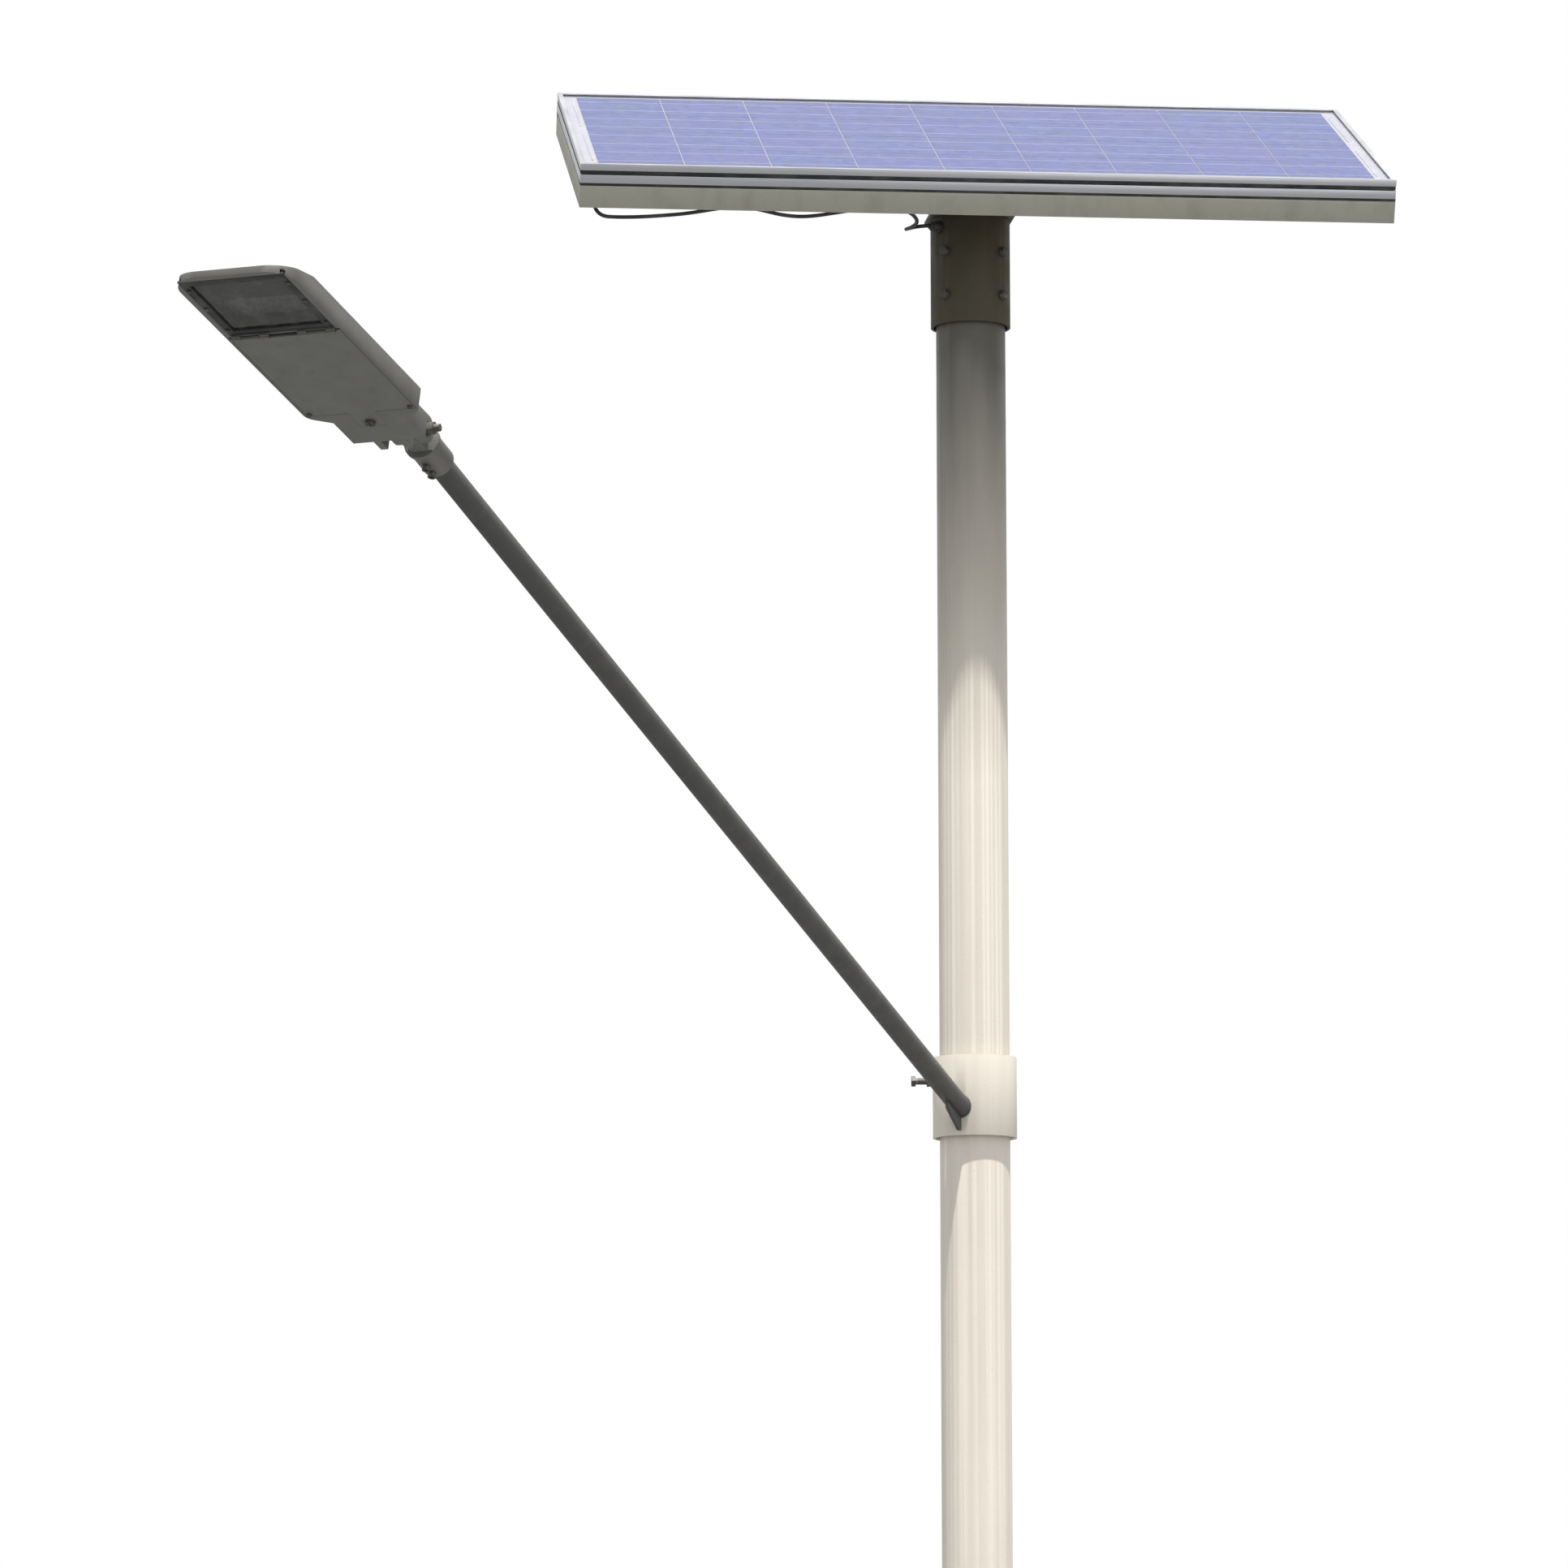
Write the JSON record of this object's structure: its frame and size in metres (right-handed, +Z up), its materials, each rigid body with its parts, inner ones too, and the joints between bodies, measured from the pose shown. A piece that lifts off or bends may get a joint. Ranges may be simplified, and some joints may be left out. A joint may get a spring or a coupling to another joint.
{
  "type": "solar street lamp",
  "caption": "Tube pole on a bolted base flange with a tilting solar module on top and a slanting arm that carries a flat lamp head.",
  "frame": {"origin": "centre of the underside of the base flange", "axes": "+Z up along the pole, +X along the module's long side, the module's low edge faces -Y"},
  "size_m": [2.237, 3.0518, 4.7973],
  "materials": {
    "pole_paint": "cream powder coat, satin",
    "sleeve_paint": "dark olive-brown powder coat",
    "arm_paint": "dark grey powder coat",
    "head_paint": "mid grey powder coat on die casting",
    "zinc_steel": "zinc plated fasteners",
    "frame_alu": "clear anodised extrusion",
    "rail_steel": "pale grey-beige paint on angle steel",
    "module_glass": "low-iron toughened glass",
    "lamp_glass": "toughened flat glass",
    "cell_blue": "polycrystalline silicon under glass",
    "back_white": "white laminate back sheet",
    "black_plastic": "black moulded plastic",
    "black_rubber": "black rubber",
    "cable_black": "black cable sheath",
    "board_white": "white solder mask",
    "led_yellow": "phosphor over white package",
    "lens_clear": "moulded lens plate",
    "battery_wrap": "blue shrink wrap",
    "driver_case": "driver case"
  },
  "bodies": {
    "pole": {"pole_tube": "pole_paint", "base_flange": "pole_paint", "base_gussets": "pole_paint", "earth_bolt": "zinc_steel", "battery_pack": "battery_wrap", "battery_shelf": "zinc_steel", "gear_plate": "zinc_steel", "charge_controller": "black_plastic", "terminal_block": "back_white", "door_hinge": "pole_paint", "door_hinge_pins": "zinc_steel"},
    "door": {"access_door": "pole_paint", "door_screws": "zinc_steel"},
    "arm": {"arm_collar": "pole_paint", "collar_pads": "black_rubber", "jack_screws": "zinc_steel", "arm_tube": "arm_paint", "arm_gusset": "arm_paint", "arm_spigot": "head_paint", "spigot_screws": "zinc_steel", "lamp_cable": "cable_black"},
    "head": {"head_housing": "head_paint", "knuckle_bolt": "zinc_steel", "led_board": "board_white", "led_chips": "led_yellow", "lens_plate": "lens_clear", "glass_seal": "black_rubber", "lamp_glass": "lamp_glass", "lamp_bezel": "black_plastic", "bezel_screws": "zinc_steel", "led_driver": "driver_case", "cover_hinge": "head_paint", "cover_hinge_pin": "zinc_steel"},
    "cover": {"gear_cover": "head_paint", "cover_screws": "zinc_steel"},
    "sleeve": {"top_sleeve": "sleeve_paint", "sleeve_plate": "sleeve_paint", "tilt_lugs": "sleeve_paint", "sleeve_bolts": "zinc_steel", "pivot_bolt": "zinc_steel", "cable_gland": "black_plastic", "cable_loop": "cable_black"},
    "panel": {"module_frame_sides": "frame_alu", "module_frame_ends": "frame_alu", "module_glass": "module_glass", "back_sheet": "back_white", "solar_cells": "cell_blue", "module_seal": "black_rubber", "rail_front": "rail_steel", "rail_rear": "rail_steel", "end_rails": "rail_steel", "cross_members": "rail_steel", "tilt_ears": "sleeve_paint", "tilt_bolts": "zinc_steel", "module_bolts": "zinc_steel", "junction_box": "black_plastic", "junction_lid": "black_plastic", "junction_screws": "zinc_steel", "cable_clips": "black_plastic", "module_cable": "cable_black"}
  },
  "joints": [
    {"name": "panel_turn", "type": "hinge", "parent": "pole", "child": "sleeve", "pos_m": [0, 0, 4.4], "axis": [0, 0, 1], "range_deg": [-90, 90]},
    {"name": "panel_tilt", "type": "hinge", "parent": "sleeve", "child": "panel", "pos_m": [0, 0, 4.536], "axis": [1, 0, 0], "range_deg": [-14.2, 20.8], "deforming": ["cable_loop"]},
    {"name": "arm_turn", "type": "hinge", "parent": "pole", "child": "arm", "pos_m": [0, 0, 2.88], "axis": [0, 0, 1], "range_deg": [-90, 90]},
    {"name": "head_tilt", "type": "hinge", "parent": "arm", "child": "head", "pos_m": [-1.12823, -2.12189, 3.68674], "axis": [0.8829, -0.4695, 0], "range_deg": [-15, 15]},
    {"name": "cover_swing", "type": "hinge", "parent": "head", "child": "cover", "pos_m": [-1.33753, -2.51553, 3.74998], "axis": [-0.8829, 0.4695, 0], "range_deg": [0, 90]},
    {"name": "door_swing", "type": "hinge", "parent": "pole", "child": "door", "pos_m": [-0.055, -0.0465, 0.7], "axis": [0, 0, -1], "range_deg": [0, 110]}
  ]
}
